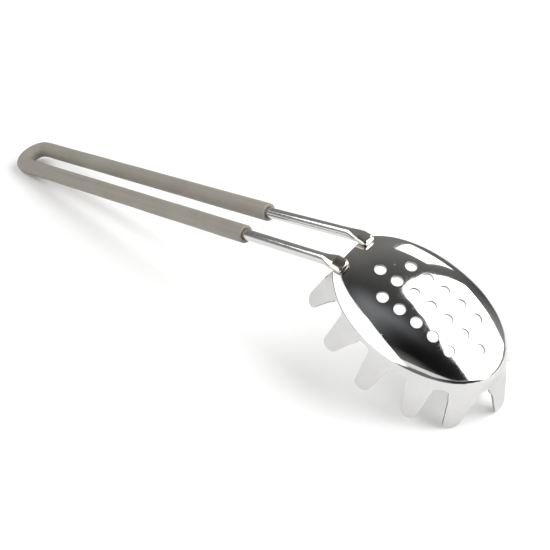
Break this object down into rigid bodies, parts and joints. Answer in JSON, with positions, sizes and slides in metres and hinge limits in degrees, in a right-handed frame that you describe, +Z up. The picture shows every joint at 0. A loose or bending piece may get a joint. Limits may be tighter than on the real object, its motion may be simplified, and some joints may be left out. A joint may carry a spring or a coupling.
{
  "type": "pasta server",
  "caption": "Pressed steel pasta spoon with a ring of tines and drain holes, spot welded to a hairpin wire handle in a soft silicone grip sleeve.",
  "frame": {"origin": "centre of the footprint, on the surface that the tool lies on", "axes": "+X along the handle towards the head as seen from above, +Y to the side, +Z up; the tool lies at rest on the bend of its grip, on its nose tine and, rolled 15 degrees to its -Y side, on the tine next to that one"},
  "size_m": [0.3226, 0.0674, 0.0604],
  "materials": {
    "polished_steel": "mirror polished pressed stainless sheet",
    "drawn_wire": "polished drawn stainless wire",
    "grip_silicone": "matt warm grey silicone"
  },
  "bodies": {
    "root": {"slotted_head": "polished_steel", "handle_wire": "drawn_wire", "grip_sleeve": "grip_silicone"}
  },
  "joints": []
}
